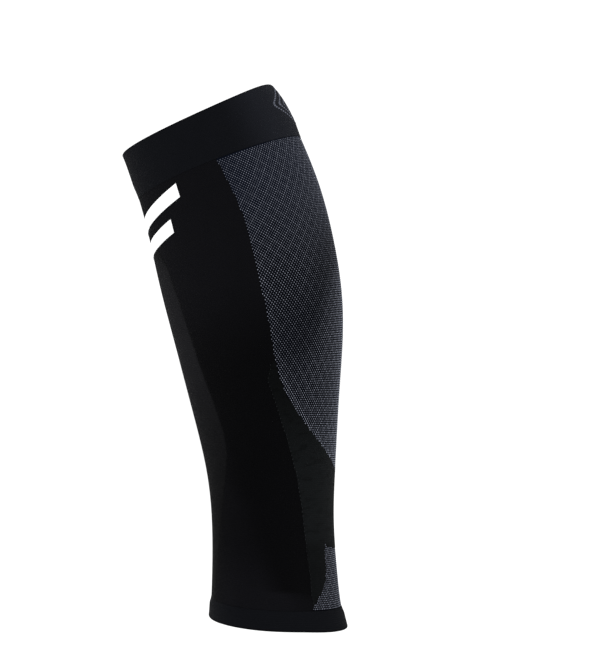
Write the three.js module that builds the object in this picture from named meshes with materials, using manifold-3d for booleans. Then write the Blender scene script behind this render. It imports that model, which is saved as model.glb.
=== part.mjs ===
// A calf compression sleeve in the form that it has when worn on a left leg: two doubled cuffs,
// and between them zones of knit, each its own solid, cut from one seamless tube.
// Millimetres. +Z runs up the leg's line, -Y is the shin, +Y the calf and +X the leg's outer side.
// The origin lies on the leg's line, level with the widest part of the calf.

import * as THREE from 'three';
import { TessellateModifier } from 'three/addons/modifiers/TessellateModifier.js';
import { mergeVertices } from 'three/addons/utils/BufferGeometryUtils.js';
import Module from 'manifold-3d';

// The sleeve's length, from the centre of the lower rim to that of the upper one, and the leg
// inside it where the calf is widest.
const sleeveLength = 344;
const calfDepth = 120;
const calfWidth = 105.6;
const upperRimRise = 14.5; // the back of the upper rim stands this far above its centre
const upperRimDip = 2.2; // the sides of the upper rim sink this far, inside the height of its cuff
const lowerRimDrop = 10.8; // the back of the lower rim hangs this far below its centre
const upperCuffHeight = 34;
const lowerCuffHeight = 14;

// The knits, and the gap that neighbouring pieces keep.
const bodyKnit = 1.2;
const meshKnit = 1.0;
const cuffKnit = 2.2; // doubled over and hemmed
const seamGap = 0.3;

// The reflective film on the front: two chevrons, one above the other.
const filmThickness = 0.4;
const chevronStroke = 9.5;
const chevronPitch = 18;
const chevronSlope = 0.24; // how far an arm climbs for each millimetre round the leg
const upperChevronDrop = 24; // from the cuff down to the point of the upper chevron's middle line
const upperChevronReach = 62; // from the front centre line round to the end of an arm
const lowerChevronReach = 50;

// How finely the solids are faceted.
const facesAround = 48;
const rowHeight = 16;
const rimFaces = 5;
const seamPoints = 16;
const cutterFace = 16;
const cutterReach = 2.4;
const splitLimit = 12; // halvings of one edge, more than any edge here needs

// Sections across the leg, upwards. Level is a share of sleeveLength above the lower rim's centre.
// Front and back are the distances from the leg's line, as shares of calfDepth; outer and inner are
// those to the two sides, as shares of calfWidth. A section whose full is above zero is fuller
// behind and narrower in front; one below zero narrows behind, to the tendon above the heel.
const legSections = [
  { at: 'below ankle', level: -0.04, front: 0.400, back: 0.370, outer: 0.332, inner: 0.332, full: -0.10 },
  { at: 'ankle', level: 0.03, front: 0.368, back: 0.356, outer: 0.319, inner: 0.319, full: -0.12 },
  { at: 'above ankle', level: 0.09, front: 0.332, back: 0.367, outer: 0.314, inner: 0.314, full: -0.12 },
  { at: 'tendon', level: 0.17, front: 0.294, back: 0.383, outer: 0.309, inner: 0.312, full: -0.10 },
  { at: 'lower shin', level: 0.25, front: 0.266, back: 0.421, outer: 0.322, inner: 0.330, full: -0.06 },
  { at: 'foot of calf', level: 0.33, front: 0.264, back: 0.468, outer: 0.349, inner: 0.361, full: 0.00 },
  { at: 'lower calf', level: 0.42, front: 0.285, back: 0.522, outer: 0.394, inner: 0.408, full: 0.05 },
  { at: 'middle', level: 0.51, front: 0.314, back: 0.581, outer: 0.439, inner: 0.453, full: 0.09 },
  { at: 'upper calf', level: 0.60, front: 0.340, back: 0.624, outer: 0.474, inner: 0.488, full: 0.10 },
  { at: 'widest calf', level: 0.68, front: 0.366, back: 0.633, outer: 0.492, inner: 0.504, full: 0.10 },
  { at: 'calf heads', level: 0.78, front: 0.383, back: 0.617, outer: 0.492, inner: 0.500, full: 0.08 },
  { at: 'below knee', level: 0.87, front: 0.410, back: 0.579, outer: 0.480, inner: 0.482, full: 0.04 },
  { at: 'cuff', level: 0.95, front: 0.451, back: 0.518, outer: 0.461, inner: 0.461, full: 0.00 },
  { at: 'upper rim', level: 1.00, front: 0.482, back: 0.479, outer: 0.458, inner: 0.458, full: -0.02 },
  { at: 'knee', level: 1.06, front: 0.512, back: 0.390, outer: 0.455, inner: 0.455, full: -0.04 },
];

// Edges of the zones, the same on both sides of a zone's centre line. Course is a share of
// sleeveLength up the knit, and aside a share of the half turn away from the centre line.
const shinEdge = [
  { course: 0.000, aside: 0.130 },
  { course: 0.075, aside: 0.151 },
  { course: 0.140, aside: 0.180 },
  { course: 0.210, aside: 0.213 },
  { course: 0.280, aside: 0.265 },
  { course: 0.335, aside: 0.308 },
  { course: 0.370, aside: 0.317 },
  { course: 0.410, aside: 0.308 },
  { course: 0.470, aside: 0.284 },
  { course: 0.545, aside: 0.253 },
  { course: 0.620, aside: 0.235 },
  { course: 0.710, aside: 0.215 },
  { course: 0.770, aside: 0.172 },
  { course: 0.815, aside: 0.085 },
  { course: 0.830, aside: 0.000 },
];
const calfMeshEdge = [
  { course: 0.292, aside: 0.000 },
  { course: 0.305, aside: 0.080 },
  { course: 0.335, aside: 0.180 },
  { course: 0.370, aside: 0.265 },
  { course: 0.405, aside: 0.330 },
  { course: 0.450, aside: 0.387 },
  { course: 0.500, aside: 0.418 },
  { course: 0.570, aside: 0.428 },
  { course: 0.650, aside: 0.437 },
  { course: 0.730, aside: 0.441 },
  { course: 0.790, aside: 0.446 },
  { course: 0.850, aside: 0.464 },
  { course: 0.900, aside: 0.478 },
  { course: 0.990, aside: 0.500 },
];
const achillesEdge = [
  { course: 0.000, aside: 0.280 },
  { course: 0.090, aside: 0.289 },
  { course: 0.160, aside: 0.302 },
  { course: 0.235, aside: 0.324 },
  { course: 0.330, aside: 0.371 },
  { course: 0.420, aside: 0.423 },
  { course: 0.500, aside: 0.450 },
  { course: 0.530, aside: 0.300 },
];
const patchSideEdge = [
  { course: 0.000, aside: 0.320 },
  { course: 0.043, aside: 0.284 },
  { course: 0.061, aside: 0.249 },
  { course: 0.082, aside: 0.206 },
  { course: 0.100, aside: 0.184 },
  { course: 0.127, aside: 0.177 },
  { course: 0.163, aside: 0.169 },
];
const patchTopEdge = [
  { course: 0.163, aside: 0.169 },
  { course: 0.155, aside: 0.140 },
  { course: 0.152, aside: 0.080 },
  { course: 0.150, aside: 0.000 },
];

// Places worked out from the sizes.
const frontCentre = 0;
const backCentre = Math.PI;
const widestLevel = legSections.find((section) => section.at === 'widest calf').level * sleeveLength;
const lowerSeam = lowerCuffHeight;
const upperSeam = sleeveLength - upperCuffHeight;
const filmLift = bodyKnit + seamGap;
const patternRadius = 0.5 * (calfDepth + calfWidth) / 2;

const wasm = await Module();
wasm.setup();

const shapeColumns = ['front', 'back', 'outer', 'inner', 'full'];
const legForm = new THREE.CubicInterpolant(
  legSections.map((section) => section.level),
  legSections.flatMap((section) => shapeColumns.map((column) => section[column])),
  shapeColumns.length
);

// A point of the leg under the knit. Around is the angle from the front centre line towards the
// outer side, and course the length up the knit, which the two slanting rims stretch or shorten.
function legPoint(around, course) {
  const low = lowerRimDrop * Math.cos(around);
  const high = sleeveLength - upperRimRise * Math.cos(around);
  const dip = upperRimDip * Math.sin(around) ** 2;
  const height = THREE.MathUtils.lerp(low, high, course / sleeveLength)
    - dip * THREE.MathUtils.smoothstep(course, upperSeam, sleeveLength);
  const [front, back, outer, inner, full] = legForm.evaluate(height / sleeveLength);
  const side = Math.sin(around) > 0 ? outer : inner;
  const middle = (back - front) / 2;
  const reach = (back + front) / 2;
  return new THREE.Vector3(
    calfWidth * side * (Math.sin(around) - full * Math.sin(2 * around)),
    calfDepth * (middle - reach * Math.cos(around)),
    height - widestLevel
  );
}

// How the knit runs at a place: one step around the leg, and one step up it, for a small step of
// the pattern each.
function knitDirections(around, course) {
  const turn = 0.01;
  const rise = turn * patternRadius;
  const ahead = legPoint(around + turn, course).sub(legPoint(around - turn, course));
  const upward = legPoint(around, course + rise).sub(legPoint(around, course - rise));
  return { ahead: ahead.divideScalar(2 * rise), upward: upward.divideScalar(2 * rise) };
}

function knitPoint(around, course, lift) {
  const { ahead, upward } = knitDirections(around, course);
  const outward = ahead.cross(upward).normalize();
  return legPoint(around, course).addScaledVector(outward, lift);
}

// Moves a shape from the pattern to the leg. Place turns a vertex into its angle, course and lift.
function wrapped(geometry, place) {
  const position = geometry.getAttribute('position');
  const vertex = new THREE.Vector3();
  for (let index = 0; index < position.count; index += 1) {
    const { around, course, lift } = place(vertex.fromBufferAttribute(position, index));
    const point = knitPoint(around, course, lift);
    position.setXYZ(index, point.x, point.y, point.z);
  }
  return geometry;
}

function solidOf(geometry) {
  const bare = geometry.clone();
  bare.deleteAttribute('normal');
  bare.deleteAttribute('uv');
  const welded = mergeVertices(bare);
  return new wasm.Manifold(new wasm.Mesh({
    numProp: 3,
    vertProperties: new Float32Array(welded.getAttribute('position').array),
    triVerts: new Uint32Array(welded.getIndex().array),
  }));
}

// A closed profile of lift and course, turned into a ring of knit round the leg.
function knitRing(profile) {
  const points = profile.map(({ lift, course }) => new THREE.Vector2(patternRadius + lift, course));
  points.push(points[0].clone());
  const ring = new THREE.LatheGeometry(points, facesAround);
  return solidOf(wrapped(ring, ({ x, y, z }) => ({
    around: Math.atan2(x, z),
    course: y,
    lift: Math.hypot(x, z) - patternRadius,
  })));
}

function coursesBetween(bottom, top) {
  const rows = Math.max(1, Math.round(Math.abs(top - bottom) / rowHeight));
  return Array.from({ length: rows + 1 }, (_, row) => THREE.MathUtils.lerp(bottom, top, row / rows));
}

// A tube that zones are cut from, clear of both cuffs.
function zoneTube(thickness, lift = 0) {
  const courses = coursesBetween(lowerSeam + seamGap / 2, upperSeam - seamGap / 2);
  const outside = courses.map((course) => ({ lift: lift + thickness, course }));
  const inside = courses.map((course) => ({ lift, course })).reverse();
  return knitRing([...outside, ...inside]);
}

// A doubled cuff from the course where it meets the zones to its rim, which is rounded.
function cuffRing(seam, rim) {
  const upwards = rim > seam;
  const rimRadius = cuffKnit / 2;
  const rimBase = upwards ? rim - rimRadius : rim + rimRadius;
  const courses = coursesBetween(seam, rimBase);
  const outside = courses.map((course) => ({ lift: cuffKnit, course }));
  const inside = courses.map((course) => ({ lift: 0, course })).reverse();
  const roll = [];
  for (let face = 1; face < rimFaces; face += 1) {
    const angle = Math.PI * face / rimFaces;
    roll.push({
      lift: rimRadius * (1 + Math.cos(angle)),
      course: rimBase + Math.sign(rim - seam) * rimRadius * Math.sin(angle),
    });
  }
  const profile = [...outside, ...roll, ...inside];
  return knitRing(upwards ? profile : profile.reverse());
}

// The outline of a zone in the pattern: its edges on one side of the centre line, and their mirror
// image. X is measured around the leg from the centre line, and Y up the knit. Points that lie
// closer together than the seam gap, as where two edges meet, count once.
function zoneOutline(edges) {
  const points = edges.flatMap((edge) => {
    const curve = new THREE.SplineCurve(edge.map(({ course, aside }) => new THREE.Vector2(
      aside * Math.PI * patternRadius,
      course * sleeveLength
    )));
    return curve.getPoints(seamPoints);
  });
  const mirrored = points.map(({ x, y }) => new THREE.Vector2(-x, y)).reverse();
  const outline = [...points, ...mirrored];
  return outline.filter((point, index) => {
    const next = outline[(index + 1) % outline.length];
    return point.distanceTo(next) > seamGap;
  });
}

// The same outline with its sides moved outwards by a width that is measured on the leg itself.
// At a sharp corner the two sides' offsets meet in a mitre, up to a few widths long.
function grownOutline(outline, centre, width) {
  const longestMitre = 4;
  const outwards = THREE.ShapeUtils.isClockWise(outline) ? -1 : 1;
  return outline.map((point, index) => {
    const before = outline.at(index - 1);
    const after = outline[(index + 1) % outline.length];
    const { ahead, upward } = knitDirections(centre + point.x / patternRadius, point.y);
    const scale = new THREE.Vector2(ahead.length(), upward.length());
    const sideNormal = (from, to) => {
      const run = to.clone().sub(from).multiply(scale).normalize();
      return new THREE.Vector2(run.y, -run.x);
    };
    const normal = sideNormal(before, point);
    const nextNormal = sideNormal(point, after);
    const mitre = 1 / Math.max(1 + normal.dot(nextNormal), 2 / longestMitre ** 2);
    const move = normal.add(nextNormal).multiplyScalar(outwards * width * mitre);
    return point.clone().add(move.divide(scale));
  });
}

// A cutter with an outline of the pattern, laid round the leg. It stands clear of the knit and the
// film on both faces, so that it cuts right through.
function cutter(outline, centre) {
  const flat = new THREE.ExtrudeGeometry(new THREE.Shape(outline), {
    depth: filmLift + filmThickness + 2 * cutterReach,
    bevelEnabled: false,
  });
  const fine = new TessellateModifier(cutterFace, splitLimit).modify(flat);
  return solidOf(wrapped(fine, ({ x, y, z }) => ({
    around: centre + x / patternRadius,
    course: y,
    lift: z - cutterReach,
  })));
}

// What cuts a zone out of its tube, and what makes room for it in the neighbouring zones.
function zoneCutters(edges, centre) {
  const outline = zoneOutline(edges);
  return {
    zone: cutter(outline, centre),
    room: cutter(grownOutline(outline, centre, seamGap), centre),
  };
}

function chevronCutter(pointCourse, reach) {
  const half = chevronStroke / 2;
  const tip = pointCourse + chevronSlope * reach;
  const outline = [
    new THREE.Vector2(0, pointCourse + half),
    new THREE.Vector2(-reach, tip + half),
    new THREE.Vector2(-reach, tip - half),
    new THREE.Vector2(0, pointCourse - half),
    new THREE.Vector2(reach, tip - half),
    new THREE.Vector2(reach, tip + half),
  ];
  return cutter(outline, frontCentre);
}

const shin = zoneCutters([shinEdge], frontCentre);
const calfMesh = zoneCutters([calfMeshEdge], backCentre);
const achilles = zoneCutters([achillesEdge], backCentre);
const patch = zoneCutters([patchSideEdge, patchTopEdge], backCentre);

const bodyTube = zoneTube(bodyKnit);
const meshTube = zoneTube(meshKnit);
const filmTube = zoneTube(filmThickness, filmLift);

const upperCuff = cuffRing(upperSeam + seamGap / 2, sleeveLength);
const lowerCuff = cuffRing(lowerSeam - seamGap / 2, 0);
const shinPanel = bodyTube.intersect(shin.zone);
const calfMeshPanel = meshTube.intersect(calfMesh.zone);
const achillesMeshPatch = meshTube.intersect(patch.zone);
const achillesPanel = bodyTube.intersect(achilles.zone).subtract(calfMesh.room).subtract(patch.room);
const sidePanel = [shin, calfMesh, achilles, patch].reduce(
  (knit, neighbour) => knit.subtract(neighbour.room),
  bodyTube
);

const upperChevronCourse = upperSeam - upperChevronDrop;
const lowerChevronCourse = upperChevronCourse - chevronPitch;
const upperChevron = filmTube.intersect(chevronCutter(upperChevronCourse, upperChevronReach));
const lowerChevron = filmTube.intersect(chevronCutter(lowerChevronCourse, lowerChevronReach));

const blackKnit = { color: 0x131316, roughness: 0.9, metalness: 0 };
const shinKnit = { color: 0x222226, roughness: 0.9, metalness: 0 };
const supportKnit = { color: 0x1c1d20, roughness: 0.9, metalness: 0 };
const dottedKnit = { color: 0x3c3e46, roughness: 0.85, metalness: 0 };
const cuffYarn = { color: 0x1a1b1e, roughness: 0.9, metalness: 0 };
const whiteFilm = { color: 0xf2f2f2, roughness: 0.5, metalness: 0 };

function named(name, body, finish) {
  const { vertProperties, triVerts } = body.getMesh();
  const geometry = new THREE.BufferGeometry();
  geometry.setAttribute('position', new THREE.BufferAttribute(vertProperties, 3));
  geometry.setIndex(new THREE.BufferAttribute(triVerts, 1));
  geometry.computeVertexNormals();
  const mesh = new THREE.Mesh(geometry, new THREE.MeshStandardMaterial(finish));
  mesh.name = name;
  return mesh;
}

const sleeve = new THREE.Group();
sleeve.add(
  named('upper_cuff', upperCuff, cuffYarn),
  named('side_panel', sidePanel, blackKnit),
  named('shin_panel', shinPanel, shinKnit),
  named('calf_mesh_panel', calfMeshPanel, dottedKnit),
  named('achilles_panel', achillesPanel, supportKnit),
  named('achilles_mesh_patch', achillesMeshPatch, dottedKnit),
  named('lower_cuff', lowerCuff, cuffYarn),
  named('upper_chevron', upperChevron, whiteFilm),
  named('lower_chevron', lowerChevron, whiteFilm)
);

export default sleeve;
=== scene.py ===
import math

import bmesh
import bpy
import numpy as np
from mathutils import Matrix, Vector
from mathutils.bvhtree import BVHTree


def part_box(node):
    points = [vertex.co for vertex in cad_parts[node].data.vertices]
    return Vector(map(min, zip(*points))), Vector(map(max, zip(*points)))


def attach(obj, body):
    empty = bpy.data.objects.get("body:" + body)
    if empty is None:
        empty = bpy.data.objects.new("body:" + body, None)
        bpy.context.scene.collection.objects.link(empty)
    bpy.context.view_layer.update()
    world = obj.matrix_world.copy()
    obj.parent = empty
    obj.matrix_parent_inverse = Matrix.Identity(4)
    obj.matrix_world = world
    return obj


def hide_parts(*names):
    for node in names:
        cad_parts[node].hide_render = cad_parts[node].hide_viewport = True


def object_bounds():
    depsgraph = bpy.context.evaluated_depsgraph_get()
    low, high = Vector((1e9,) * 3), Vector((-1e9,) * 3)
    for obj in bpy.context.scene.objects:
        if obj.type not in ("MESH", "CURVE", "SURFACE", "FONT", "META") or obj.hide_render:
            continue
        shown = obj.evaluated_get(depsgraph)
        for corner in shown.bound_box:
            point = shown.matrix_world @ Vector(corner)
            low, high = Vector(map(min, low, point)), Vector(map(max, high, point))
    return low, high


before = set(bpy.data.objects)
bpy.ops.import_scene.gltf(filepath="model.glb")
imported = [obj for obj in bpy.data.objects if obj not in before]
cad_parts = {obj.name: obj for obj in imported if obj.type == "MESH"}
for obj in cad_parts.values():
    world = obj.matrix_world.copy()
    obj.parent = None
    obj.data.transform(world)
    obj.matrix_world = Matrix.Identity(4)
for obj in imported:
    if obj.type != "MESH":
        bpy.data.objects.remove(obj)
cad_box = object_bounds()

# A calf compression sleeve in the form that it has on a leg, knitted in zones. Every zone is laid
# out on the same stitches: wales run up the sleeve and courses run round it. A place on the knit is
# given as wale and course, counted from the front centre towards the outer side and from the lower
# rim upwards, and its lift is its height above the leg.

MM = 0.001

# The stitches. The wales divide by eight, so that the dotted pattern closes all round. The courses
# lie closer over the upper calf, where the leg widens the knit most.
WALES = 360
HALF_TURN = WALES // 2
LOW_COURSE = 1.31 * MM
HIGH_COURSE = 1.05 * MM
CLOSING_STARTS = 0.66
CLOSING_ENDS = 0.72

# Round the back of the lower calf the courses sag a little. The exponents set how high up they sag
# most, how fast that fades up and down, and how near to the back centre it stays.
COURSE_SAG = 8.3 * MM
SAG_HEIGHT = 0.65
SAG_FADE = 6
SAG_BEHIND = 8

# The grey stitches of the dotted knit.
NET_STEP = 4  # every fourth slanting line of stitches is a bright one
STITCH_WIDE = 0.56  # of a wale
STITCH_TALL = 0.50  # of a course
STITCH_EDGE = 0.07 * MM
STITCH_CROWN = 0.08 * MM
STITCH_HEIGHT = 0.20 * MM
STITCH_SINK = 0.02 * MM  # so that no gap shows under a stitch
V_SLANT = 0.34  # how far the legs of a stitch climb from its middle to its side, in courses

# Tones are shares of a knit's colour. Where they change is given in shares of the height and of the
# way from the front centre to the back one, as two limits between which the change is soft. A light
# is added to the tone, and a shade is taken from it.

# The black knit is darkest in the wedge above the ankle. The front edge of the wedge is given as
# heights and ways to the back.
WEDGE_EDGE = (
    (0.067, 0.600),
    (0.074, 0.478),
    (0.127, 0.422),
    (0.173, 0.378),
    (0.223, 0.344),
    (0.247, 0.300),
    (0.270, 0.240),
    (0.430, 0.150),
    (0.520, 0.000),
)
WEDGE_SOFTNESS = (-0.03, 0.15)
WEDGE_FLOOR = (0.052, 0.072)
WEDGE_BELOW_FLOOR = 0.5  # of the wedge's shade
WEDGE_SHADE = 0.38
LOWER_TONE = 0.78
ANKLE_LIGHT = 0.6
ANKLE_HEIGHTS = (0.05, 0.17)
# Painted shade on the lower front of the side, which the front softbox lights strongly.
LOW_FRONT_PAINTED_SHADE = 0.3
LOW_FRONT_WAYS = (0.18, 0.32)
LOW_FRONT_HEIGHTS = (0.30, 0.42)
CALF_TONE = 1.12
CALF_HEIGHTS = (0.47, 0.66)

# The knit of the shin gets its light in two steps on the way up, and less of it at its edge.
SHIN_TONE = 0.32
SHIN_LIGHT = 0.60
SHIN_HEIGHTS = (0.16, 0.52)
UPPER_SHIN_LIGHT = 0.28
UPPER_SHIN_HEIGHTS = (0.40, 0.52)
SHIN_TIP_HEIGHTS = (0.68, 0.76)
SHIN_EDGE = 0.012
SHIN_EDGE_LIGHT = 0.35  # of the light inside

# The support knit is darkest along the lower cuff, and fades towards its spike.
SUPPORT_LOW_TONE = 0.62
SUPPORT_LOW_HEIGHTS = (0.145, 0.170)
SPIKE_SHADE = 0.62
SPIKE_HEIGHTS = (0.26, 0.45)

# The black ground between the grey stitches.
GROUND_LOW_TONE = 0.27
GROUND_HEIGHTS = (0.60, 0.84)

# A band of painted shade, the shadow under the thick of the calf, crosses the dotted knit. Its
# darkest line is given as ways to the back and heights. Above it the band fades slowly, and below
# it fast. The shade is the share of the grey that the line loses, and towards the front it loses
# less.
BAND_LINE = (
    (0.556, 0.496),
    (0.640, 0.500),
    (0.689, 0.508),
    (0.722, 0.527),
    (0.761, 0.554),
    (0.794, 0.587),
    (0.844, 0.617),
    (0.894, 0.637),
    (1.000, 0.656),
)
BAND_ABOVE = 0.085
BAND_BELOW = 0.056
PAINTED_BAND_SHADE = 0.54
BAND_IN_FRONT = 0.70  # of that shade
BAND_FRONT_WAYS = (0.55, 0.70)

# The rest of the grey stitches.
TOP_FRONT_SHADE = 0.3
TOP_FRONT_WAYS = (0.54, 0.66)
TOP_FRONT_HEIGHTS = (0.74, 0.82)
# Painted light on the grey stitches round the back of the calf, where light falls from behind and
# below.
PAINTED_BACK_LIGHT = 0.28
BACK_WAYS = (0.82, 0.94)
BACK_STARTS = (0.15, 0.30)
BACK_ENDS = (0.56, 0.66)
POINT_LIGHT = 0.28
POINT_HEIGHTS = (0.30, 0.44)
EDGE_LIGHT = 0.3
EDGE_WIDTH = 0.045
EDGE_HEIGHTS = (0.60, 0.70)
LOWER_EDGE_HEIGHTS = (0.46, 0.56)  # below them the light is twice as strong

# The knit of the cuffs. The painted shadow along each folded rim is given in courses from the rim.
RIM_SHADOW_TONE = 0.45
RIM_SHADOW_COURSES = 1.5
# Painted light on the back of the upper cuff, where a light from behind falls on it.
CUFF_BACK_PAINTED_LIGHT = 1.35
CUFF_BACK_WAYS = (0.60, 0.80)

# The painted shade of small creases in the support knit is noise, turned and drawn out along
# them. It shows where the noise lies over the first limit, and at the second one it takes this
# share of the colour.
CREASE_TURN = 0.7
CREASE_SQUEEZE = 2.4
CREASE_SCALE = 150.0
CREASE_LIMITS = (0.50, 0.66)
CREASE_SHADE = 0.3

# The cuffs are doubled over at the rim. At the seam they start with a low step over the knit, and
# they reach their full thickness in the first third.
SEAM_STEP = 0.22 * MM
SEAM_STEPS = 3
CUFF_SLOPE = 0.35
RIM_STEPS = 6
CUFF_STEPS = 20

# The diamond motif knitted into the back of the upper cuff.
MOTIF_BELOW_RIM = 13  # courses
MOTIF_COURSES = 12  # from its middle to its top
MOTIF_WALES = 26
MOTIF_RINGS = (1.0, 0.7, 0.4)
MOTIF_POWER = 1.12  # rounds the sides of the diamonds a little
MOTIF_HEIGHT = 0.1 * MM

# The stitches of the motif and of the support knit's edge are this much wider than the grey ones of
# the dotted knit.
MARK_SIZE = 1.5

# The film chevrons are bonded to the knit of the front.
FILM = 0.3 * MM
FILM_FACE = 2.5 * MM  # longer edges are cut, so that the film can follow the curve
FILM_CUTS = 3

# The picture: the camera stands level beside the calf, a little behind the outer side, and is
# rolled so that the knee leans to the left. The view is centred behind the leg's line.
CAMERA_TURN = math.radians(7)
CAMERA_ROLL = math.radians(8.73)
CAMERA_DISTANCE = 1.1
CAMERA_HEIGHT = -42.9 * MM
FOCAL_LENGTH = 87.4
SENSOR = 36
VIEW_BEHIND = 43.6 * MM
VIEW_ABOVE = 6.8 * MM
SOLE_DROP = 95 * MM  # the floor lies this far below the lower rim, as it does under a foot
FLOOR_RADIUS = 60.0

BODY_NODES = (
    "side_panel",
    "shin_panel",
    "calf_mesh_panel",
    "achilles_panel",
    "achilles_mesh_patch",
)
KNIT_NODES = BODY_NODES + ("upper_cuff", "lower_cuff")

# How the form is read: the sectors in which an edge's corners are looked for, the waves that an
# edge's height and a section's radius are made of, the steps in which the courses are counted up
# the height, and the rays that meet the inside of the knit.
# After each fitting the rays that lie further from the surface than the limit are left out.
SECTORS = 24
EDGE_WAVES = 4
SECTION_WAVES = 7
RISE_TERMS = 13
HEIGHT_STEPS = 2000
RAYS_ROUND = 120
RAYS_UP = 84
FITTINGS = 3
FIT_LIMIT = 0.5 * MM
MERGE = 0.01 * MM  # corners nearer to each other than this are one


# The form of the leg, read from the solids.

def solid_tree(names):
    """A search tree of the faces of these nodes, and the node that each face belongs to."""
    points, faces, owners = [], [], []
    for name in names:
        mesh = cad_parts[name].data
        start = len(points)
        points.extend(vertex.co.copy() for vertex in mesh.vertices)
        for polygon in mesh.polygons:
            faces.append([start + index for index in polygon.vertices])
            owners.append(name)
    return BVHTree.FromPolygons(points, faces), owners


def waves(angles, count):
    """The constant and the first count waves round the leg, one column each."""
    columns = [np.ones_like(angles)]
    for wave in range(1, count + 1):
        columns += [np.cos(wave * angles), np.sin(wave * angles)]
    return np.stack(columns, axis=-1)


def edge_heights(name, highest):
    """The waves of the height of a cuff's upper or lower edge round the leg, from the highest or
    lowest corner of its solid in each sector."""
    corners = np.array([vertex.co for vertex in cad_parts[name].data.vertices])
    angles = np.arctan2(corners[:, 0], -corners[:, 1])
    sectors = np.floor((angles + math.pi) / (2 * math.pi) * SECTORS).astype(int)
    edge = []
    for sector in range(SECTORS):
        own = np.flatnonzero(sectors == sector)
        if len(own):
            heights = corners[own, 2]
            edge.append(own[np.argmax(heights) if highest else np.argmin(heights)])
    return np.linalg.lstsq(waves(angles[edge], EDGE_WAVES), corners[edge, 2], rcond=None)[0]


def leg_radii(tree, low, high, angles, shares):
    """The distance from the leg's line to the inside of the knit, at these angles and at the shares
    of the height that each row has there. It is a smooth surface through what rays from the line
    meet, and it closes over the seams, through which a ray can slip."""
    found_angles, found_shares, radii = [], [], []
    for angle in np.linspace(0, 2 * math.pi, RAYS_ROUND, endpoint=False):
        out = Vector((math.sin(angle), -math.cos(angle), 0))
        bottom = float(waves(np.array(angle), EDGE_WAVES) @ low)
        top = float(waves(np.array(angle), EDGE_WAVES) @ high)
        for share in np.linspace(0.012, 0.988, RAYS_UP):
            start = Vector((0, 0, bottom + share * (top - bottom)))
            radius = tree.ray_cast(start, out)[3]
            if radius is not None:
                found_angles.append(angle)
                found_shares.append(share)
                radii.append(radius)
    found_angles, found_shares, radii = map(np.array, (found_angles, found_shares, radii))

    def basis(at_angles, at_shares):
        round_it = waves(at_angles, SECTION_WAVES)
        up_it = np.polynomial.chebyshev.chebvander(2 * at_shares - 1, RISE_TERMS)
        return (round_it[..., :, None] * up_it[..., None, :]).reshape(*at_angles.shape, -1)

    table = basis(found_angles, found_shares)
    kept = np.ones(len(radii), bool)
    for _ in range(FITTINGS):
        fitted = np.linalg.lstsq(table[kept], radii[kept], rcond=None)[0]
        kept = np.abs(table @ fitted - radii) < FIT_LIMIT
    return np.stack([basis(angles, row) @ fitted for row in shares])


def leg_surface():
    """The places of the corners between the stitches on the leg. There is one row for each course,
    and in it one place for each wale, evenly spaced on both sides between the front centre and the
    back one."""
    tree, _ = solid_tree(KNIT_NODES)
    low = edge_heights("lower_cuff", highest=False)
    high = edge_heights("upper_cuff", highest=True)
    steps, step = np.linspace(0, 1, HEIGHT_STEPS + 1, retstep=True)
    closing = np.clip((steps - CLOSING_STARTS) / (CLOSING_ENDS - CLOSING_STARTS), 0, 1)
    heights = LOW_COURSE + (HIGH_COURSE - LOW_COURSE) * closing
    length = float(high[0] - low[0])
    counted = np.concatenate([[0], np.cumsum(step * length / heights[1:])])
    rows = round(counted[-1])
    angles = np.linspace(0, 2 * math.pi, 4 * WALES + 1)
    shares = np.interp(np.linspace(0, counted[-1], rows + 1), counted, steps)
    bottom = waves(angles, EDGE_WAVES) @ low
    top = waves(angles, EDGE_WAVES) @ high
    sag = COURSE_SAG * np.sin(math.pi * shares ** SAG_HEIGHT) ** SAG_FADE
    at_back = (0.5 - 0.5 * np.cos(angles)) ** SAG_BEHIND
    shares = shares[:, None] - sag[:, None] * at_back / (top - bottom)
    radii = leg_radii(tree, low, high, angles, shares)
    places = np.stack([
        radii * np.sin(angles),
        -radii * np.cos(angles),
        bottom + shares * (top - bottom),
    ], axis=-1)
    back = 2 * WALES
    surface = np.empty((rows + 1, WALES + 1, 3))
    for row, ring in enumerate(places):
        walked = np.concatenate([[0], np.cumsum(np.linalg.norm(np.diff(ring, axis=0), axis=1))])
        stops = np.concatenate([
            np.linspace(0, walked[back], HALF_TURN + 1)[:-1],
            np.linspace(walked[back], walked[-1], HALF_TURN + 1),
        ])
        for axis in range(3):
            surface[row, :, axis] = np.interp(stops, walked, ring[:, axis])
    return surface


def surface_normals(surface):
    """Which way is out at each place of leg_surface()."""
    ring = surface[:, :-1]
    along = np.roll(ring, -1, axis=1) - np.roll(ring, 1, axis=1)
    up = np.gradient(ring, axis=0)
    out = np.cross(along, up)
    out /= np.linalg.norm(out, axis=-1, keepdims=True)
    return np.concatenate([out, out[:, :1]], axis=1)


leg = leg_surface()
leg_out = surface_normals(leg)
COURSES = leg.shape[0] - 1


def on_leg(wales, courses, lifts):
    """The places at these wales and courses, this far out from the leg."""
    wales = np.mod(np.asarray(wales, float), WALES)
    courses = np.clip(np.asarray(courses, float), 0, COURSES)
    left = np.minimum(wales.astype(int), WALES - 1)
    below = np.minimum(courses.astype(int), COURSES - 1)
    aside = (wales - left)[..., None]
    above = (courses - below)[..., None]

    def between(table):
        lower = (1 - aside) * table[below, left] + aside * table[below, left + 1]
        upper = (1 - aside) * table[below + 1, left] + aside * table[below + 1, left + 1]
        return (1 - above) * lower + above * upper

    return between(leg) + np.asarray(lifts, float)[..., None] * between(leg_out)


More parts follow.
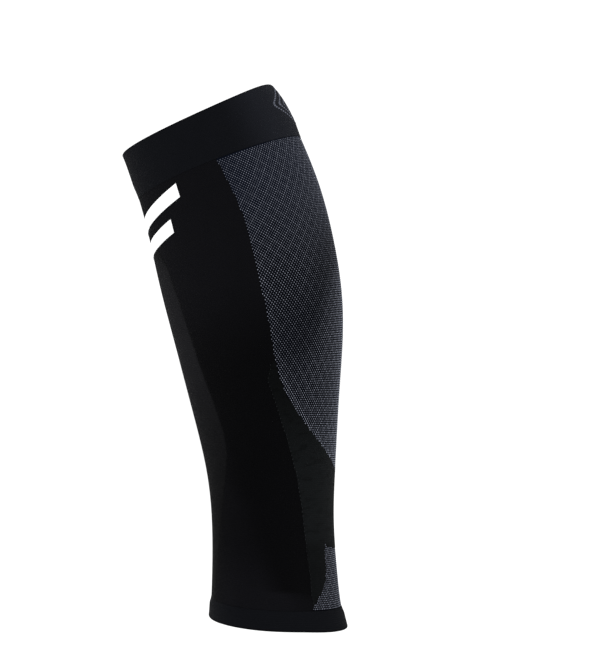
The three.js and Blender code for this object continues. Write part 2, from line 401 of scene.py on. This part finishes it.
def wall_of(name):
    """How thick a node's knit is: the usual distance between its inner and its outer face, which
    are met by rays from the leg's line and from a metre outside it."""
    tree, _ = solid_tree([name])
    low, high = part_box(name)
    walls = []
    for height in np.linspace(low.z, high.z, 9)[1:-1]:
        for angle in np.linspace(0, 2 * math.pi, 72, endpoint=False):
            out = Vector((math.sin(angle), -math.cos(angle), 0))
            line = Vector((0, 0, height))
            inner = tree.ray_cast(line, out)[3]
            outer = tree.ray_cast(line + out, -out)[3]
            if inner is not None and outer is not None:
                walls.append(1 - outer - inner)
    return float(np.percentile(walls, 15))


WALL = {name: wall_of(name) for name in KNIT_NODES}


def seam_courses(name, highest):
    """The course of a cuff's seam at each wale."""
    heights = edge_heights(name, highest)
    rows = np.arange(COURSES + 1)
    seam = np.empty(WALES + 1)
    for wale in range(WALES + 1):
        rising = leg[:, wale]
        angles = np.arctan2(rising[:, 0], -rising[:, 1])
        above = rising[:, 2] - waves(angles, EDGE_WAVES) @ heights
        seam[wale] = np.interp(0, above, rows)
    return seam


lower_seam = seam_courses("lower_cuff", highest=True)
upper_seam = seam_courses("upper_cuff", highest=False)


def zones_of_stitches():
    """The zone that each stitch belongs to, as its place in BODY_NODES: the node whose solid lies
    nearest to its middle."""
    tree, owners = solid_tree(BODY_NODES)
    wales, courses = np.meshgrid(np.arange(WALES) + 0.5, np.arange(COURSES) + 0.5)
    middles = on_leg(wales, courses, np.full(wales.shape, WALL["side_panel"]))
    zones = np.empty(wales.shape, int)
    for row in range(COURSES):
        for column in range(WALES):
            face = tree.find_nearest(Vector(middles[row, column]))[2]
            zones[row, column] = BODY_NODES.index(owners[face])
    return zones


zones = zones_of_stitches()


def zone_of(name):
    """A map of the stitches of this zone, with those that a cuff's seam cuts through."""
    rows = np.arange(COURSES)[:, None]
    lower = np.minimum(lower_seam[:-1], lower_seam[1:])
    upper = np.maximum(upper_seam[:-1], upper_seam[1:])
    return (zones == BODY_NODES.index(name)) & (rows + 1 > lower) & (rows < upper)


def whole_stitches(name):
    """A map of the stitches of this zone that no seam cuts through."""
    rows = np.arange(COURSES)[:, None]
    return zone_of(name) & (rows > lower_seam[:-1] + 0.2) & (rows + 1.2 < upper_seam[:-1])


# How dark the knit is at each place, as a share of its colour.

def ease(values, start, end):
    """Rises from 0 at start to 1 at end, soft at both."""
    share = np.clip((values - start) / (end - start), 0, 1)
    return share * share * (3 - 2 * share)


def heights_and_ways(wales, courses):
    """Shares of the height and of the way from the front centre to the back one."""
    return courses / COURSES, 1 - np.abs(wales / HALF_TURN - 1)


def even_tone(wales, courses):
    return np.ones(len(wales))


def side_tone(wales, courses):
    """Darkest in the wedge above the ankle, and lighter above the lower cuff and over the calf.
    Painted shade darkens its lower front.
    """
    height, way = heights_and_ways(wales, courses)
    edge_height, edge_way = np.array(WEDGE_EDGE).T
    wedge = ease(way - np.interp(height, edge_height, edge_way), *WEDGE_SOFTNESS)
    wedge = wedge * (WEDGE_BELOW_FLOOR + (1 - WEDGE_BELOW_FLOOR) * ease(height, *WEDGE_FLOOR))
    ankle = (1 - wedge) * (1 - ease(height, *ANKLE_HEIGHTS))
    # Painted shade on the lower front.
    low_front = (1 - ease(way, *LOW_FRONT_WAYS)) * (1 - ease(height, *LOW_FRONT_HEIGHTS))
    lower = LOWER_TONE - WEDGE_SHADE * wedge + ANKLE_LIGHT * ankle
    lower = lower * (1 - LOW_FRONT_PAINTED_SHADE * low_front)
    upper = ease(height, *CALF_HEIGHTS)
    return lower * (1 - upper) + CALF_TONE * upper


def shin_tone(wales, courses):
    """Lightest beside the calf, with a soft edge towards the side."""
    height, way = heights_and_ways(wales, courses)
    light = SHIN_LIGHT * ease(height, *SHIN_HEIGHTS)
    light = light + UPPER_SHIN_LIGHT * ease(height, *UPPER_SHIN_HEIGHTS)
    light = light * (1 - ease(height, *SHIN_TIP_HEIGHTS))
    ends = np.interp(courses, np.arange(COURSES) + 0.5, shin_ends)
    inside = 1 - ease(way, ends - SHIN_EDGE, ends)
    return SHIN_TONE + light * (SHIN_EDGE_LIGHT + (1 - SHIN_EDGE_LIGHT) * inside)


def support_tone(wales, courses):
    height, _ = heights_and_ways(wales, courses)
    low = SUPPORT_LOW_TONE + (1 - SUPPORT_LOW_TONE) * ease(height, *SUPPORT_LOW_HEIGHTS)
    return low * (1 - SPIKE_SHADE * ease(height, *SPIKE_HEIGHTS))


def ground_tone(wales, courses):
    height, _ = heights_and_ways(wales, courses)
    return GROUND_LOW_TONE + (1 - GROUND_LOW_TONE) * ease(height, *GROUND_HEIGHTS)


def dot_tone(wales, courses):
    """The grey is darker in a band of painted shade under the thick of the calf, and along the
    front of the top. It is brighter along the front edge, at the lower point and above the heel,
    and painted light makes it brighter round the back of the calf."""
    height, way = heights_and_ways(wales, courses)
    line_way, line_height = np.array(BAND_LINE).T
    above = height - np.interp(way, line_way, line_height)
    # Painted shade: the shadow band under the thick of the calf, darkest along BAND_LINE.
    painted_shadow = PAINTED_BAND_SHADE * np.exp(-(above / np.where(above > 0, BAND_ABOVE, BAND_BELOW)) ** 2)
    painted_shadow = painted_shadow * (BAND_IN_FRONT + (1 - BAND_IN_FRONT) * ease(way, *BAND_FRONT_WAYS))
    top_front = (1 - ease(way, *TOP_FRONT_WAYS)) * ease(height, *TOP_FRONT_HEIGHTS)
    # Painted light round the back of the calf.
    back = ease(way, *BACK_WAYS) * ease(height, *BACK_STARTS) * (1 - ease(height, *BACK_ENDS))
    point = 1 - ease(height, *POINT_HEIGHTS)
    starts = np.interp(courses, np.arange(COURSES) + 0.5, mesh_starts)
    edge = (1 - ease(way - starts, 0, EDGE_WIDTH)) * (1 - ease(height, *EDGE_HEIGHTS))
    edge = edge * (2 - ease(height, *LOWER_EDGE_HEIGHTS))
    light = PAINTED_BACK_LIGHT * back + POINT_LIGHT * point + EDGE_LIGHT * edge
    return (1 - painted_shadow) * (1 - TOP_FRONT_SHADE * top_front) * (1 + light)


def cuff_tone(wales, courses):
    """Painted shade darkens the fold at each rim. Painted light makes the upper cuff lighter
    towards its back."""
    height, way = heights_and_ways(wales, courses)
    from_rim = np.minimum(courses, COURSES - courses)
    # Painted shade along each rim.
    rim_shadow = RIM_SHADOW_TONE + (1 - RIM_SHADOW_TONE) * ease(from_rim, 0, RIM_SHADOW_COURSES)
    is_upper = height > 0.5
    # Painted light towards the back of the upper cuff.
    return rim_shadow * (1 + CUFF_BACK_PAINTED_LIGHT * ease(way, *CUFF_BACK_WAYS) * is_upper)


def reach_of(name):
    """The shares of the way to the back between which a zone lies at each course. Where the zone
    isn't there, both are -1."""
    ways = 1 - np.abs(np.arange(WALES) + 0.5 - HALF_TURN) / HALF_TURN
    own = zones == BODY_NODES.index(name)
    starts = np.where(own, ways, 2).min(axis=1)
    return np.where(own.any(axis=1), starts, -1), np.where(own, ways, -1).max(axis=1)


mesh_starts, _ = reach_of("calf_mesh_panel")
_, shin_ends = reach_of("shin_panel")


# Pieces of knit.

def piece_from(knit, name, material, node=None):
    """Turns a bmesh into a finished piece that rides on the sleeve."""
    for face in knit.faces:
        face.smooth = True
    mesh = bpy.data.meshes.new(name)
    knit.to_mesh(mesh)
    knit.free()
    mesh.materials.append(material)
    piece = bpy.data.objects.new(name, mesh)
    bpy.context.scene.collection.objects.link(piece)
    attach(piece, "root")
    if node:
        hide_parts(node)
    return piece


def count_stitches(knit, wales, courses, tone):
    """Gives a knit its UV map, which counts wales and courses, and its tone."""
    counts = knit.loops.layers.uv.new("Stitches")
    shades = knit.verts.layers.float.new("Tone")
    for face in knit.faces:
        for loop in face.loops:
            loop[counts].uv = (wales[loop.vert.index], courses[loop.vert.index])
    for vertex, shade in zip(knit.verts, tone(wales, courses)):
        vertex[shades] = shade


def stitch_sheet(stitches, lift, tone=even_tone, seams=False):
    """A sheet with a face for each of these stitches. With seams it ends at the seams of the cuffs,
    and otherwise at the last whole stitches."""
    sheet = bmesh.new()
    bmesh.ops.create_grid(sheet, x_segments=WALES, y_segments=COURSES, size=0.5)
    spare = []
    for face in sheet.faces:
        middle = face.calc_center_median()
        column = int((middle.x + 0.5) * WALES)
        row = int((middle.y + 0.5) * COURSES)
        if not stitches[row, column]:
            spare.append(face)
    bmesh.ops.delete(sheet, geom=spare, context="FACES")
    flat = np.array([vertex.co for vertex in sheet.verts])
    wales = (flat[:, 0] + 0.5) * WALES
    courses = (flat[:, 1] + 0.5) * COURSES
    if seams:
        nearest = np.rint(wales).astype(int)
        courses = np.clip(courses, lower_seam[nearest], upper_seam[nearest])
    count_stitches(sheet, wales, courses, tone)
    for vertex, place in zip(sheet.verts, on_leg(wales, courses, np.full(len(wales), lift))):
        vertex.co = place
    bmesh.ops.remove_doubles(sheet, verts=sheet.verts, dist=MERGE)
    return sheet


def knit_panel(name, material, tone=even_tone):
    """One zone of the knit, as thick as its solid, edge to edge with the next."""
    sheet = stitch_sheet(zone_of(name), WALL[name], tone, seams=True)
    panel = piece_from(sheet, name + "_knit", material, name)
    wall = panel.modifiers.new("Wall", "SOLIDIFY")
    wall.thickness = WALL[name]
    wall.offset = -1
    return panel


def raised_stitches(name, stitches, wall, material, size=1.0, height=STITCH_HEIGHT,
                    tone=even_tone):
    """Stitches that stand up from a knit with this wall, each a small round grain in the middle of
    its place. In a low tone they are both darker and smaller."""
    lift = wall - STITCH_SINK

    def shade(wales, courses):
        return np.sqrt(tone(wales, courses))

    grains = stitch_sheet(stitches, lift, shade)
    bmesh.ops.split_edges(grains, edges=grains.edges)
    counts = grains.loops.layers.uv["Stitches"]
    corners, middles = [], []
    for face in grains.faces:
        places = [loop[counts].uv.copy() for loop in face.loops]
        middles += [sum(places, Vector((0, 0))) / 4] * 4
        corners += places
    corners, middles = np.array(corners), np.array(middles)
    spread = size * tone(middles[:, 0], middles[:, 1])[:, None] ** 0.25
    corners = middles + spread * (corners - middles) * (STITCH_WIDE, STITCH_TALL)
    spots = iter(on_leg(corners[:, 0], corners[:, 1], np.full(len(corners), lift)))
    for face in grains.faces:
        for vertex in [loop.vert for loop in face.loops]:
            vertex.co = next(spots)
    tops = list(grains.faces)
    bmesh.ops.inset_individual(grains, faces=tops, thickness=STITCH_EDGE, depth=0.7 * height)
    bmesh.ops.inset_individual(grains, faces=tops, thickness=STITCH_CROWN, depth=0.3 * height)
    return piece_from(grains, name, material)


def cuff_profile(wall):
    """Once round a cuff's wall, from the seam up the outside, over the rim and down the inside.
    Each point is its share of the way from the seam to the rim, how far it then goes on towards the
    rim, and its lift."""
    rim_round = 0.5 * wall
    step_up = WALL["side_panel"] + SEAM_STEP
    profile = []
    for step in range(SEAM_STEPS + 1):
        turn = 0.5 * math.pi * step / SEAM_STEPS
        onwards = SEAM_STEP * (1 - math.cos(turn))
        profile.append((0, onwards, step_up - SEAM_STEP * (1 - math.sin(turn))))
    for step in range(1, CUFF_STEPS):
        share = step / CUFF_STEPS
        onwards = (1 - share) * SEAM_STEP - share * rim_round
        thicker = float(ease(share, 0, CUFF_SLOPE))
        profile.append((share, onwards, step_up + thicker * (wall - step_up)))
    for step in range(RIM_STEPS + 1):
        turn = math.pi * step / RIM_STEPS
        onwards = rim_round * (math.sin(turn) - 1)
        profile.append((1, onwards, rim_round + rim_round * math.cos(turn)))
    for step in range(1, CUFF_STEPS):
        share = 1 - step / CUFF_STEPS
        profile.append((share, -share * rim_round, 0))
    return np.array(profile + [(0, 0, 0), profile[0]])


def cuff(name, material, rim, seam, course):
    """A doubled cuff between its seam and its rim, both given as courses for each wale, where one
    course is this high."""
    profile = cuff_profile(WALL[name])
    steps = len(profile) - 1
    ring = bmesh.new()
    bmesh.ops.create_grid(ring, x_segments=WALES, y_segments=steps, size=0.5)
    flat = np.array([vertex.co for vertex in ring.verts])
    wales = (flat[:, 0] + 0.5) * WALES
    point = np.rint((flat[:, 1] + 0.5) * steps).astype(int)
    at_wale = np.rint(wales).astype(int)
    shares, onwards, lifts = profile[point].T
    reach = rim[at_wale] - seam[at_wale]
    courses = seam[at_wale] + shares * reach + np.sign(reach) * onwards / course
    count_stitches(ring, wales, courses, cuff_tone)
    for vertex, place in zip(ring.verts, on_leg(wales, courses, lifts)):
        vertex.co = place
    bmesh.ops.remove_doubles(ring, verts=ring.verts, dist=MERGE)
    bmesh.ops.recalc_face_normals(ring, faces=ring.faces)
    return piece_from(ring, name + "_knit", material, name)


def film_chevron(name, material):
    """A chevron of film, cut as its solid is and bonded down onto the knit's curve."""
    film = bmesh.new()
    film.from_mesh(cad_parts[name].data)
    bmesh.ops.remove_doubles(film, verts=film.verts, dist=MERGE)
    depth = film.verts.layers.float.new("depth")
    distances = [leg_tree.find_nearest(vertex.co)[3] for vertex in film.verts]
    middle = 0.5 * (min(distances) + max(distances))
    for vertex, distance in zip(film.verts, distances):
        vertex[depth] = 1.0 if distance > middle else 0.0
    for _ in range(FILM_CUTS):
        long_edges = [edge for edge in film.edges if edge.calc_length() > FILM_FACE]
        bmesh.ops.subdivide_edges(film, edges=long_edges, cuts=1)
        bmesh.ops.triangulate(film, faces=film.faces)
    for vertex in film.verts:
        place, out, _, _ = leg_tree.find_nearest(vertex.co)
        vertex.co = place + (WALL["side_panel"] + FILM * vertex[depth]) * out
    bmesh.ops.recalc_face_normals(film, faces=film.faces)
    return piece_from(film, name + "_film", material, name)


def leg_as_tree():
    """A search tree of the leg's own surface."""
    tube = stitch_sheet(np.ones((COURSES, WALES), bool), 0.0)
    tree = BVHTree.FromBMesh(tube)
    tube.free()
    return tree


leg_tree = leg_as_tree()


# Materials.

def linear(hex_colour):
    """An sRGB hex colour as linear red, green, blue and alpha."""
    channels = [int(hex_colour[place:place + 2], 16) / 255 for place in (1, 3, 5)]
    return [c / 12.92 if c <= 0.04045 else ((c + 0.055) / 1.055) ** 2.4 for c in channels] + [1.0]


def add(tree, kind, inputs=None, **settings):
    """Adds a node with these settings. Each input is a value or another node's output."""
    node = tree.nodes.new(kind)
    for name, value in settings.items():
        setattr(node, name, value)
    for name, value in (inputs or {}).items():
        if isinstance(value, bpy.types.NodeSocket):
            tree.links.new(value, node.inputs[name])
        else:
            node.inputs[name].default_value = value
    return node


def maths(tree, operation, *values):
    """The result of this operation on these values or other nodes' outputs."""
    return add(tree, "ShaderNodeMath", dict(enumerate(values)), operation=operation).outputs[0]


def scaled(tree, colour, share):
    """A colour times a share."""
    inputs = {0: colour, "Scale": share}
    return add(tree, "ShaderNodeVectorMath", inputs, operation="SCALE").outputs[0]


def stitch_relief(tree):
    """The height of a knitted surface: on each wale a row of V stitches, from the UV map."""
    counts = add(tree, "ShaderNodeUVMap", uv_map="Stitches").outputs[0]
    wale, course, _ = add(tree, "ShaderNodeSeparateXYZ", {0: counts}).outputs
    aside = maths(tree, "PINGPONG", wale, 0.5)
    climb = maths(tree, "MULTIPLY_ADD", aside, 2 * V_SLANT, course)
    loops = maths(tree, "ABSOLUTE", maths(tree, "SINE", maths(tree, "MULTIPLY", climb, math.pi)))
    roundness = maths(tree, "SINE", maths(tree, "MULTIPLY", aside, 2 * math.pi))
    return maths(tree, "MULTIPLY", loops, roundness)


def painted_crease_shade(tree, place):
    """The share of the colour that the painted shade of small slanting creases leaves."""
    turned = {"Vector": place, "Rotation": (CREASE_TURN, 0, 0), "Scale": (1, 1, CREASE_SQUEEZE)}
    along = add(tree, "ShaderNodeMapping", turned).outputs[0]
    noise = {"Vector": along, "Scale": CREASE_SCALE, "Detail": 2.0}
    creases = add(tree, "ShaderNodeTexNoise", noise).outputs[0]
    starts, ends = CREASE_LIMITS
    shares = {0: creases, 1: starts, 2: ends, 3: 1.0, 4: 1.0 - CREASE_SHADE}
    return add(tree, "ShaderNodeMapRange", shares, interpolation_type="SMOOTHSTEP").outputs[0]


def knit_material(name, dark, light, relief, sheen=0.01, with_crease_shade=False):
    """Nylon and elastane yarn, knitted: dull, with the V stitches as relief, and with a faint sheen
    where the light grazes it. The colour drifts between two tones, darker between the stitches."""
    material = bpy.data.materials.new(name)
    material.use_nodes = True
    tree = material.node_tree
    shader = tree.nodes["Principled BSDF"]
    place = add(tree, "ShaderNodeTexCoord").outputs["Object"]
    noise = {"Vector": place, "Scale": 90.0, "Detail": 3.0}
    drift = add(tree, "ShaderNodeTexNoise", noise).outputs[0]
    height = stitch_relief(tree)
    mix = maths(tree, "MULTIPLY_ADD", drift, height, 0.25)
    tones = {"Factor": mix, 6: linear(dark), 7: linear(light)}
    colour = add(tree, "ShaderNodeMix", tones, data_type="RGBA").outputs[2]
    tone = add(tree, "ShaderNodeAttribute", attribute_name="Tone").outputs["Fac"]
    colour = scaled(tree, colour, tone)
    # Painted shade of small creases.
    if with_crease_shade:
        colour = scaled(tree, colour, painted_crease_shade(tree, place))
    bump = add(tree, "ShaderNodeBump", {"Height": height, "Distance": relief, "Strength": 0.8})
    tree.links.new(colour, shader.inputs["Base Color"])
    tree.links.new(bump.outputs[0], shader.inputs["Normal"])
    shader.inputs["Roughness"].default_value = 0.85
    shader.inputs["Specular IOR Level"].default_value = 0.03
    shader.inputs["Sheen Weight"].default_value = sheen
    shader.inputs["Sheen Roughness"].default_value = 0.25
    return material


def film_material():
    """Reflective polyurethane film, heat-bonded: satin white, with a very fine grain that breaks up
    its highlights."""
    material = bpy.data.materials.new("white_reflective_film")
    material.use_nodes = True
    tree = material.node_tree
    shader = tree.nodes["Principled BSDF"]
    place = add(tree, "ShaderNodeTexCoord").outputs["Object"]
    noise = {"Vector": place, "Scale": 900.0, "Detail": 2.0}
    grain = add(tree, "ShaderNodeTexNoise", noise).outputs[0]
    tones = {"Factor": grain, 6: linear("#eeeff0"), 7: linear("#fafafa")}
    colour = add(tree, "ShaderNodeMix", tones, data_type="RGBA").outputs[2]
    bump = add(tree, "ShaderNodeBump", {"Height": grain, "Distance": 0.05 * MM, "Strength": 0.3})
    tree.links.new(colour, shader.inputs["Base Color"])
    tree.links.new(bump.outputs[0], shader.inputs["Normal"])
    shader.inputs["Roughness"].default_value = 0.45
    return material


# The plain knit is all but black, and takes no light where it is grazed. The shin's knit is a soft
# dark grey beside it, the support knit a greenish one with the painted shade of creases, and the
# cuffs a bluish one. Under the grey yarns the ground is a dark blue, which shows between them.
plain_black = knit_material("black_nylon_knit", "#060608", "#0b0b0e", 0.25 * MM, sheen=0.0)
shin_black = knit_material("shin_nylon_knit", "#0c0c0e", "#141416", 0.25 * MM)
support_black = knit_material("support_knit", "#0a0c0d", "#121415", 0.25 * MM, with_crease_shade=True)
cuff_black = knit_material("doubled_cuff_knit", "#08090c", "#0d0e12", 0.2 * MM)
mesh_ground = knit_material("mesh_ground_knit", "#070a12", "#0c111e", 0.3 * MM)
grey_yarn = knit_material("grey_yarn", "#53565f", "#686b77", 0.05 * MM)
bright_yarn = knit_material("bright_grey_yarn", "#6c707b", "#838692", 0.05 * MM)
dim_yarn = knit_material("dim_grey_yarn", "#17181a", "#222325", 0.05 * MM)
white_film = film_material()


# The sleeve.

def dotted(name, ground_node):
    """The grey stitches of a dotted zone. Every other stitch is grey, and every fourth slanting
    line of them is brighter, both ways."""
    rows, columns = np.indices((COURSES, WALES))
    grey = whole_stitches(ground_node) & ((rows + columns) % 2 == 0)
    step = 2 * NET_STEP
    net = ((rows + columns) % step == 0) | ((rows - columns) % step == 0)
    return [
        raised_stitches(f"{name}_{part}_stitches", stitches, WALL[ground_node], yarn,
                        tone=dot_tone)
        for part, stitches, yarn in (
            ("grey", grey & ~net, grey_yarn),
            ("net", grey & net, bright_yarn),
        )
    ]


def cuff_motif():
    """Nested diamonds in thin lines of grey stitches, knitted into the back of the upper cuff."""
    rows, columns = np.indices((COURSES, WALES))
    aside = np.abs(columns + 0.5 - HALF_TURN) / MOTIF_WALES
    above = np.abs(rows + 0.5 - (COURSES - MOTIF_BELOW_RIM)) / MOTIF_COURSES
    spread = (aside ** MOTIF_POWER + above ** MOTIF_POWER) ** (1 / MOTIF_POWER)
    rings = np.zeros(spread.shape, bool)
    for ring in MOTIF_RINGS:
        rings |= np.abs(spread - ring) * MOTIF_COURSES < 0.5
    return raised_stitches("cuff_motif_stitches", rings, WALL["upper_cuff"], grey_yarn,
                           size=MARK_SIZE, height=MOTIF_HEIGHT)


def support_edge():
    """The column of lighter stitches along the front edge of the support knit."""
    own = whole_stitches("achilles_panel")
    beside = zone_of("side_panel")
    edge = own & (np.roll(beside, 1, axis=1) | np.roll(beside, -1, axis=1))
    edge[1::2] = False
    return raised_stitches("support_edge_stitches", edge, WALL["achilles_panel"], dim_yarn,
                           size=MARK_SIZE, tone=support_tone)


side_panel = knit_panel("side_panel", plain_black, side_tone)
shin_panel = knit_panel("shin_panel", shin_black, shin_tone)
calf_panel = knit_panel("calf_mesh_panel", mesh_ground, ground_tone)
support_panel = knit_panel("achilles_panel", support_black, support_tone)
heel_patch = knit_panel("achilles_mesh_patch", mesh_ground, ground_tone)
upper_cuff = cuff("upper_cuff", cuff_black, np.full(WALES + 1, COURSES), upper_seam, HIGH_COURSE)
lower_cuff = cuff("lower_cuff", cuff_black, np.zeros(WALES + 1), lower_seam, LOW_COURSE)
calf_dots = dotted("calf_mesh", "calf_mesh_panel")
patch_dots = dotted("achilles_mesh", "achilles_mesh_patch")
motif = cuff_motif()
edge_line = support_edge()
films = [film_chevron(name, white_film) for name in ("upper_chevron", "lower_chevron")]


# The studio.

def studio_air():
    """White air all round, which lights the sleeve softly."""
    world = bpy.data.worlds.new("studio_air")
    world.use_nodes = True
    background = world.node_tree.nodes["Background"]
    background.inputs["Color"].default_value = linear("#ffffff")
    background.inputs["Strength"].default_value = 1.15
    bpy.context.scene.world = world


def studio_floor():
    """A wide pale floor, as bright as the air behind it, so that no horizon shows."""
    low, _ = cad_box
    disc = bmesh.new()
    bmesh.ops.create_circle(disc, cap_ends=True, radius=FLOOR_RADIUS, segments=128)
    bmesh.ops.translate(disc, verts=disc.verts, vec=(0, 0, low.z - SOLE_DROP))
    mesh = bpy.data.meshes.new("studio_floor")
    disc.to_mesh(mesh)
    disc.free()
    paint = bpy.data.materials.new("matt_white_paint")
    paint.use_nodes = True
    shader = paint.node_tree.nodes["Principled BSDF"]
    shader.inputs["Base Color"].default_value = linear("#f6f6f6")
    shader.inputs["Roughness"].default_value = 1.0
    shader.inputs["Specular IOR Level"].default_value = 0.0
    mesh.materials.append(paint)
    floor = bpy.data.objects.new("studio_floor", mesh)
    bpy.context.scene.collection.objects.link(floor)


def softbox(name, place, aim, size, power):
    """A rectangular softbox at this place, aimed at this point."""
    light = bpy.data.lights.new(name, "AREA")
    light.shape = "RECTANGLE"
    light.size, light.size_y = size
    light.energy = power
    lamp = bpy.data.objects.new(name, light)
    lamp.location = place
    lamp.rotation_euler = (Vector(aim) - Vector(place)).to_track_quat("-Z", "Y").to_euler()
    bpy.context.scene.collection.objects.link(lamp)


def camera():
    """A level camera, rolled, whose view is centred behind the leg's line."""
    back = Vector((math.cos(CAMERA_TURN), math.sin(CAMERA_TURN), 0))
    right = Vector((-math.sin(CAMERA_TURN), math.cos(CAMERA_TURN), 0))
    up = Vector((0, 0, 1))
    picture_right = math.cos(CAMERA_ROLL) * right - math.sin(CAMERA_ROLL) * up
    picture_up = math.sin(CAMERA_ROLL) * right + math.cos(CAMERA_ROLL) * up
    eye_level = Vector((0, 0, CAMERA_HEIGHT))
    place = eye_level + CAMERA_DISTANCE * back
    aim = eye_level + VIEW_BEHIND * picture_right + VIEW_ABOVE * picture_up
    away = (place - aim).normalized()
    side = picture_up.cross(away).normalized()
    turned = Matrix((side, away.cross(side), away)).transposed()
    lens = bpy.data.cameras.new("camera")
    lens.lens = FOCAL_LENGTH
    lens.sensor_width = SENSOR
    lens.sensor_fit = "AUTO"
    lens.clip_end = 200
    eye = bpy.data.objects.new("camera", lens)
    eye.matrix_world = Matrix.Translation(place) @ turned.to_4x4()
    bpy.context.scene.collection.objects.link(eye)
    bpy.context.scene.camera = eye


studio_floor()
studio_air()
camera()
bpy.context.scene.view_settings.view_transform = "Standard"
softbox("front_softbox", (1.2, -1.4, 0.9), (0, 0, -0.05), (0.9, 1.2), 12)
softbox("rear_softbox", (0.1, 1.5, -0.28), (0, 0.05, -0.02), (0.5, 0.3), 10)
softbox("top_softbox", (0.2, 0.1, 1.8), (0, 0, 0), (1.4, 1.4), 6)
